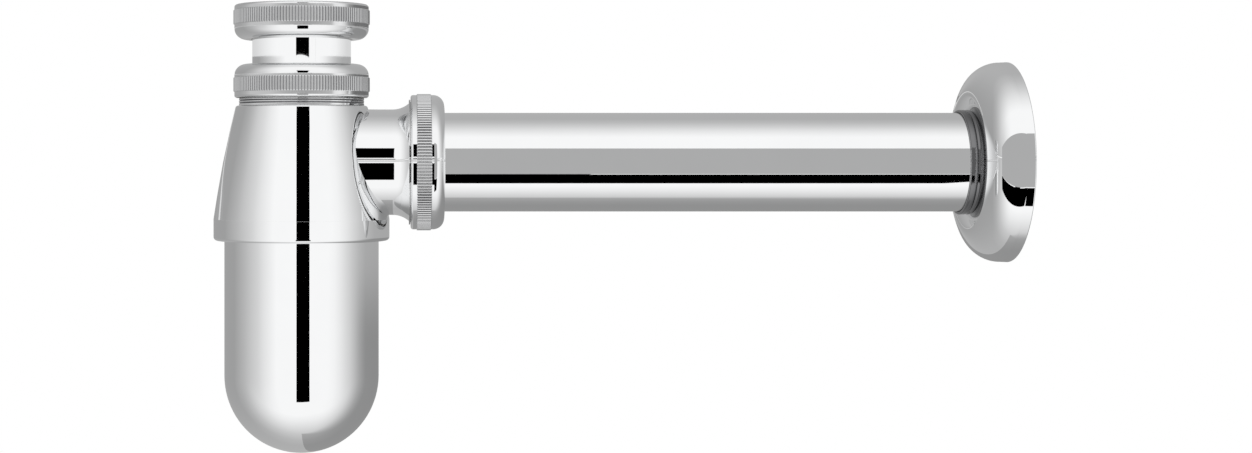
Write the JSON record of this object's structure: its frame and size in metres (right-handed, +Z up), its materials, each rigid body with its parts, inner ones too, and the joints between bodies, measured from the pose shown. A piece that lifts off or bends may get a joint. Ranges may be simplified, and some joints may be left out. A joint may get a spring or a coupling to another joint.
{
  "type": "bottle trap",
  "caption": "Chrome bottle trap: threaded inlet nut on a dip tube, conical body with a screw-on cup, and a straight pipe with a round cover for the wall.",
  "frame": {"origin": "centre of the inlet nut's mouth, on the axis of its thread", "axes": "+Z up along the inlet tube and out of the inlet nut's mouth, +X along the outlet pipe to the wall"},
  "size_m": [0.2573, 0.0648, 0.145],
  "materials": {
    "chrome_plate": "polished plate on brass",
    "seal_rubber": "matt moulded rubber",
    "slip_ring_plastic": "waxy natural polymer"
  },
  "bodies": {
    "inlet_nut": {"inlet_nut": "chrome_plate"},
    "inlet_tube": {"inlet_tube": "chrome_plate", "inlet_gasket": "seal_rubber"},
    "trap_body": {"trap_body": "chrome_plate", "body_cone_seal": "seal_rubber", "outlet_cone_seal": "seal_rubber"},
    "body_slip_ring": {"body_slip_ring": "slip_ring_plastic"},
    "body_nut": {"body_nut": "chrome_plate"},
    "outlet_slip_ring": {"outlet_slip_ring": "slip_ring_plastic"},
    "outlet_nut": {"outlet_nut": "chrome_plate"},
    "outlet_pipe": {"outlet_pipe": "chrome_plate"},
    "wall_flange": {"wall_flange": "chrome_plate"},
    "cup_ring": {"cup_ring": "seal_rubber"},
    "cup": {"cup": "chrome_plate"}
  },
  "joints": [
    {"name": "trap_swivel", "type": "hinge", "parent": "inlet_nut", "child": "inlet_tube", "pos_m": [0, 0, 0], "axis": [0, 0, 1], "continuous": true},
    {"name": "body_height", "type": "slide", "parent": "inlet_tube", "child": "trap_body", "axis": [0, 0, -1], "range_m": [0, 0.04]},
    {"name": "body_nut_travel", "type": "slide", "parent": "trap_body", "child": "body_slip_ring", "axis": [0, 0, 1], "range_m": [0, 0.00693]},
    {"name": "body_nut_turn", "type": "hinge", "parent": "body_slip_ring", "child": "body_nut", "pos_m": [0, 0, -0.0226], "axis": [0, 0, 1], "range_deg": [0, 1080]},
    {"name": "outlet_nut_travel", "type": "slide", "parent": "trap_body", "child": "outlet_slip_ring", "axis": [1, 0, 0], "range_m": [0, 0.00693]},
    {"name": "outlet_nut_turn", "type": "hinge", "parent": "outlet_slip_ring", "child": "outlet_nut", "pos_m": [0.0428, 0, -0.0509], "axis": [1, 0, 0], "range_deg": [0, 1080]},
    {"name": "pipe_slide", "type": "slide", "parent": "trap_body", "child": "outlet_pipe", "axis": [1, 0, 0], "range_m": [0, 0.012]},
    {"name": "flange_slide", "type": "slide", "parent": "outlet_pipe", "child": "wall_flange", "axis": [-1, 0, 0], "range_m": [0, 0.155]},
    {"name": "cup_travel", "type": "slide", "parent": "trap_body", "child": "cup_ring", "axis": [0, 0, -1], "range_m": [0, 0.006]},
    {"name": "cup_turn", "type": "hinge", "parent": "cup_ring", "child": "cup", "pos_m": [0, 0, -0.073], "axis": [0, 0, -1], "range_deg": [0, 1080]}
  ],
  "couplings": [
    {"joint": "body_nut_travel", "follows": "body_nut_turn", "m_per_rad": 0.00036749},
    {"joint": "outlet_nut_travel", "follows": "outlet_nut_turn", "m_per_rad": 0.00036749},
    {"joint": "cup_travel", "follows": "cup_turn", "m_per_rad": 0.00031831}
  ]
}
